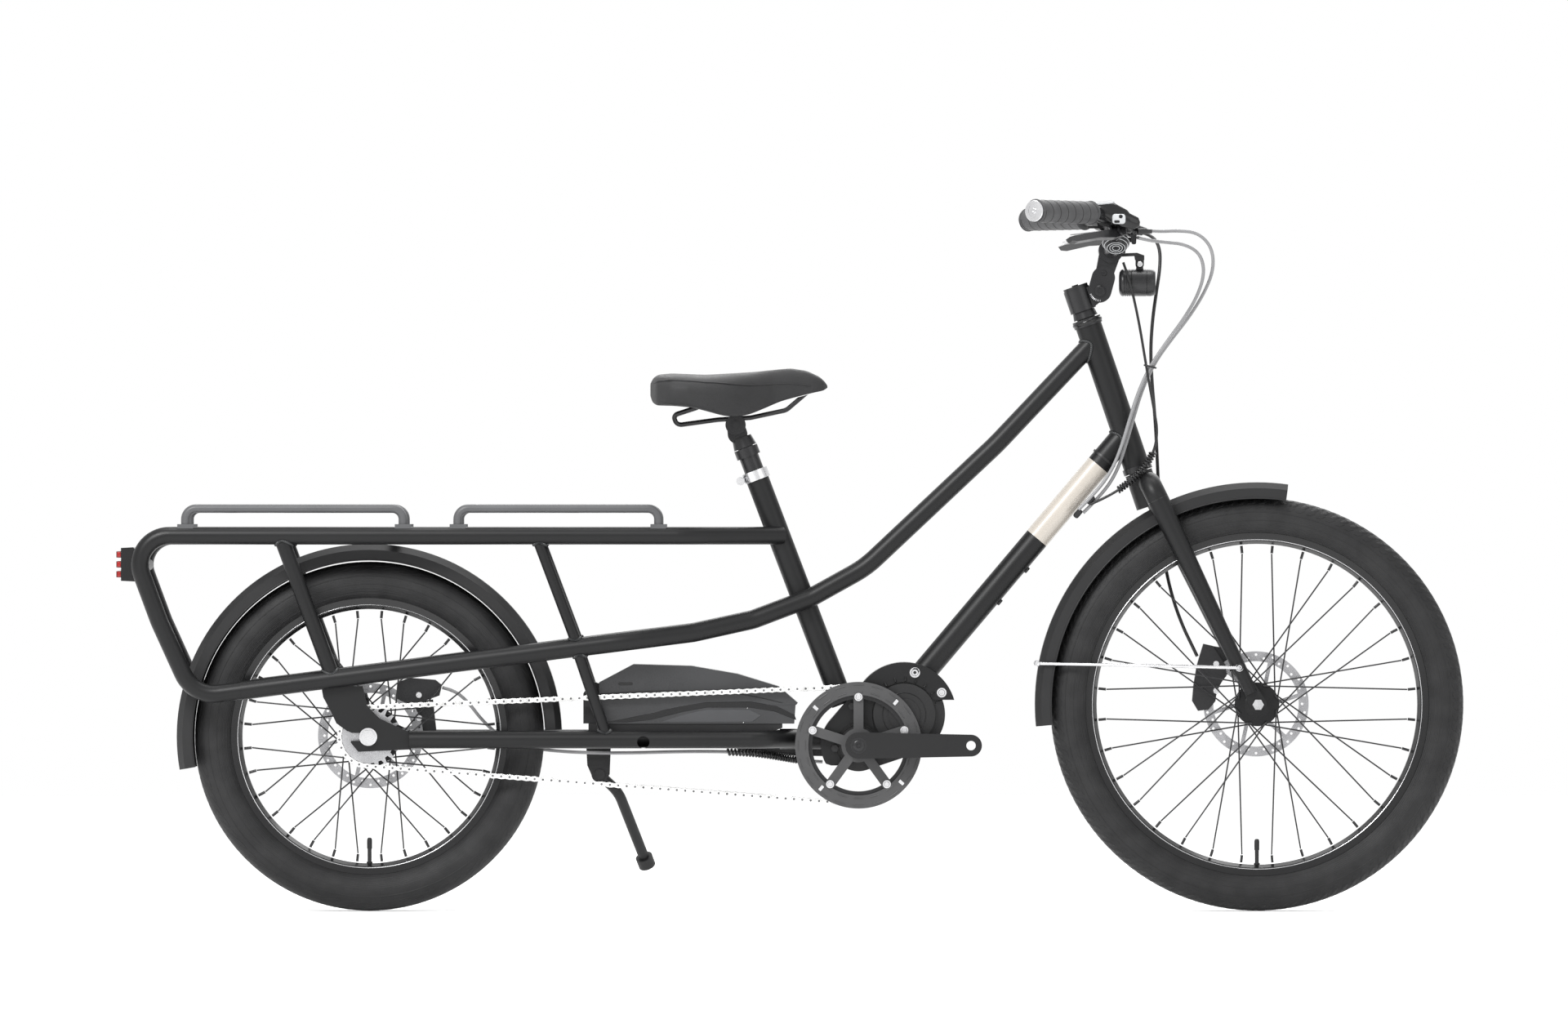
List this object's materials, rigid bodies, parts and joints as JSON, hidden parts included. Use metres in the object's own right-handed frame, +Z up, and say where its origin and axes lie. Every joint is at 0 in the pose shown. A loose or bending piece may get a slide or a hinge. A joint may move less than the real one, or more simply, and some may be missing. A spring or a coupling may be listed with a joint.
{
  "type": "cargo bicycle",
  "caption": "Electric cargo bicycle with a long rear rack and deck bars, hub wheels with disc brakes, mid motor, battery, lamps, fenders and side stand.",
  "frame": {"origin": "centre of the bounding box at floor level, between the two tyre contact points", "axes": "+X towards the front wheel, +Y to the rider's left, +Z up"},
  "size_m": [2.0436, 0.677, 1.0867],
  "materials": {
    "frame_paint": "matte powder coat",
    "deck_paint": "satin powder coat",
    "silver_alloy": "satin polished",
    "black_alloy": "gloss anodised",
    "bearing_steel": "ground",
    "motor_shell": "satin cast",
    "battery_shell": "satin",
    "chain_steel": "plated",
    "fender_plastic": "matte",
    "guard_plastic": "matte",
    "tyre_rubber": "moulded tread",
    "spoke_steel": "black coated",
    "hub_alloy": "black anodised with plain steel disc",
    "grip_rubber": "matte wrapped",
    "brake_alloy": "polished and black",
    "display_plastic": "satin",
    "lamp_plastic": "satin case with clear lens",
    "tail_plastic": "black case with red lenses",
    "saddle_leather": "soft matte",
    "seat_steel": "black",
    "hose_rubber": "smooth jacket"
  },
  "bodies": {
    "frame": {"head_tube": "frame_paint", "down_tube": "frame_paint", "seat_tube": "frame_paint", "motor_bracket": "frame_paint", "twin_tubes": "frame_paint", "lower_rails": "frame_paint", "rack_rails": "frame_paint", "rack_struts": "frame_paint", "chainstays": "frame_paint", "deck_rails": "deck_paint", "seat_clamp": "silver_alloy", "bearings": "bearing_steel", "motor_housing": "motor_shell", "motor_covers": "motor_shell", "battery_case": "battery_shell", "battery_tray": "battery_shell", "chain": "chain_steel", "rear_axle": "bearing_steel", "rear_fender": "fender_plastic", "rear_caliper": "brake_alloy", "tail_light": "tail_plastic", "kickstand_bracket": "black_alloy", "control_hoses": "hose_rubber", "stay_hose": "hose_rubber"},
    "steering": {"fork_legs": "frame_paint", "fork_crown": "frame_paint", "front_axle": "bearing_steel", "front_fender": "fender_plastic", "front_caliper": "brake_alloy", "stem_clamp": "black_alloy", "front_brake_hose": "hose_rubber"},
    "bar": {"stem_arm": "black_alloy", "handlebar": "black_alloy", "grips": "grip_rubber", "brake_bodies": "brake_alloy", "display_unit": "display_plastic", "bell": "black_alloy", "headlight_bracket": "black_alloy"},
    "headlight": {"headlight": "lamp_plastic"},
    "brake_lever_right": {"brake_lever_right": "brake_alloy"},
    "brake_lever_left": {"brake_lever_left": "brake_alloy"},
    "shift_lever": {"shift_lever": "display_plastic"},
    "bell_striker": {"bell_striker": "black_alloy"},
    "front_wheel": {"front_tyre": "tyre_rubber", "front_rim": "black_alloy", "front_spokes": "spoke_steel", "front_hub": "hub_alloy"},
    "rear_wheel": {"rear_tyre": "tyre_rubber", "rear_rim": "black_alloy", "rear_spokes": "spoke_steel", "rear_hub": "hub_alloy"},
    "cog": {"rear_cog": "chain_steel"},
    "crank": {"crank_arms": "black_alloy", "chainring": "black_alloy", "chainring_guard": "guard_plastic"},
    "seatpost": {"seatpost": "black_alloy", "seatpost_head": "black_alloy"},
    "saddle": {"saddle": "saddle_leather", "saddle_rails": "seat_steel"},
    "kickstand": {"kickstand_leg": "black_alloy"}
  },
  "joints": [
    {"name": "steering", "type": "hinge", "parent": "frame", "child": "steering", "pos_m": [0.5255, 0, 0.6749], "axis": [-0.3223, 0, 0.9466], "range_deg": [-50, 50], "deforming": ["control_hoses"]},
    {"name": "stem_tilt", "type": "hinge", "parent": "steering", "child": "bar", "pos_m": [0.4698, 0, 0.9409], "axis": [0, 1, 0], "range_deg": [-20, 30], "deforming": ["front_brake_hose"]},
    {"name": "headlight_tilt", "type": "hinge", "parent": "bar", "child": "headlight", "pos_m": [0.5305, 0, 0.9813], "axis": [0, 1, 0], "range_deg": [-15, 9]},
    {"name": "brake_lever_right_pull", "type": "hinge", "parent": "bar", "child": "brake_lever_right", "pos_m": [0.494, -0.176, 1.026], "axis": [-0.7081, 0.5012, -0.4974], "range_deg": [0, 9], "stiffness_Nm_per_rad": 3, "springref_deg": -5.73},
    {"name": "brake_lever_left_pull", "type": "hinge", "parent": "bar", "child": "brake_lever_left", "pos_m": [0.494, 0.176, 1.026], "axis": [0.7081, 0.5012, 0.4974], "range_deg": [0, 9], "stiffness_Nm_per_rad": 3, "springref_deg": -5.73},
    {"name": "shift_lever_push", "type": "hinge", "parent": "bar", "child": "shift_lever", "pos_m": [0.466, -0.181, 1.034], "axis": [0, 0, 1], "range_deg": [0, 12], "stiffness_Nm_per_rad": 1, "springref_deg": -5.73},
    {"name": "bell_striker_flick", "type": "hinge", "parent": "bar", "child": "bell_striker", "pos_m": [0.5184, -0.13159, 1.01467], "axis": [0, -0.6051, -0.7961], "range_deg": [0, 20], "stiffness_Nm_per_rad": 0.3, "springref_deg": -11.46},
    {"name": "front_wheel_spin", "type": "hinge", "parent": "steering", "child": "front_wheel", "pos_m": [0.7084, 0, 0.3135], "axis": [0, 1, 0], "continuous": true},
    {"name": "rear_wheel_spin", "type": "hinge", "parent": "frame", "child": "rear_wheel", "pos_m": [-0.6389, 0, 0.265], "axis": [0, 1, 0], "continuous": true},
    {"name": "crank_spin", "type": "hinge", "parent": "frame", "child": "crank", "pos_m": [0.1032, 0, 0.2521], "axis": [0, 1, 0], "continuous": true},
    {"name": "cog_spin", "type": "hinge", "parent": "frame", "child": "cog", "pos_m": [-0.6389, 0, 0.265], "axis": [0, 1, 0], "continuous": true},
    {"name": "seat_height", "type": "slide", "parent": "frame", "child": "seatpost", "axis": [-0.3551, 0, 0.9348], "range_m": [-0.015, 0.08]},
    {"name": "saddle_tilt", "type": "hinge", "parent": "seatpost", "child": "saddle", "pos_m": [-0.0831, 0, 0.7377], "axis": [0, 1, 0], "range_deg": [-8, 8]},
    {"name": "kickstand_swing", "type": "hinge", "parent": "frame", "child": "kickstand", "pos_m": [-0.2901, 0.085, 0.2058], "axis": [0, 1, 0], "range_deg": [0, 100]}
  ],
  "couplings": [
    {"joint": "cog_spin", "follows": "crank_spin", "ratio": 2}
  ]
}
